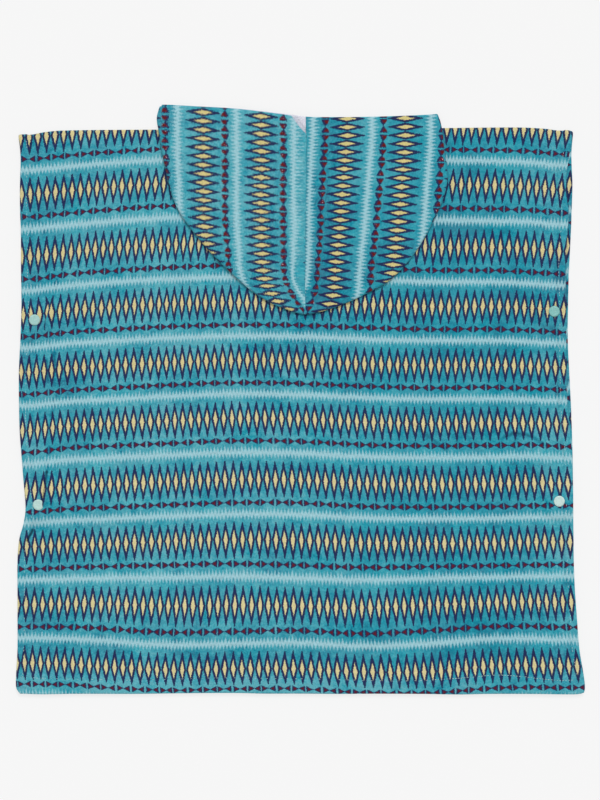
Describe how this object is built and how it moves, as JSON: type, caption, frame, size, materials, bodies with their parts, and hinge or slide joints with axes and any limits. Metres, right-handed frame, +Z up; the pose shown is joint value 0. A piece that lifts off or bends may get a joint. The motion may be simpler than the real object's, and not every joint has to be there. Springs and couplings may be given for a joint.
{
  "type": "hooded bath poncho",
  "caption": "Child's hooded terry bath poncho laid flat, back up: one cloth folded over the shoulders, sides closed with press studs, hood folded down over the back.",
  "frame": {"origin": "on the floor, under the middle of the outline", "axes": "+X across the back to its right side, +Y from the bottom hem up to the hood, +Z up from the floor"},
  "size_m": [0.6061, 0.6285, 0.0106],
  "materials": {
    "printed_terry": "velour terry, printed with rows of narrow diamonds, small triangles and pale dashes on teal, white loops on the reverse",
    "stud_plastic": "smooth moulded mint plastic, soft gloss"
  },
  "bodies": {
    "root": {"body": "printed_terry", "hood_left": "printed_terry", "hood_right": "printed_terry", "stud_left_upper_back_cap": "stud_plastic", "stud_left_upper_socket": "stud_plastic", "stud_left_upper_ball": "stud_plastic", "stud_left_upper_front_cap": "stud_plastic", "stud_left_lower_back_cap": "stud_plastic", "stud_left_lower_socket": "stud_plastic", "stud_left_lower_ball": "stud_plastic", "stud_left_lower_front_cap": "stud_plastic", "stud_right_upper_back_cap": "stud_plastic", "stud_right_upper_socket": "stud_plastic", "stud_right_upper_ball": "stud_plastic", "stud_right_upper_front_cap": "stud_plastic", "stud_right_lower_back_cap": "stud_plastic", "stud_right_lower_socket": "stud_plastic", "stud_right_lower_ball": "stud_plastic", "stud_right_lower_front_cap": "stud_plastic"}
  },
  "joints": []
}
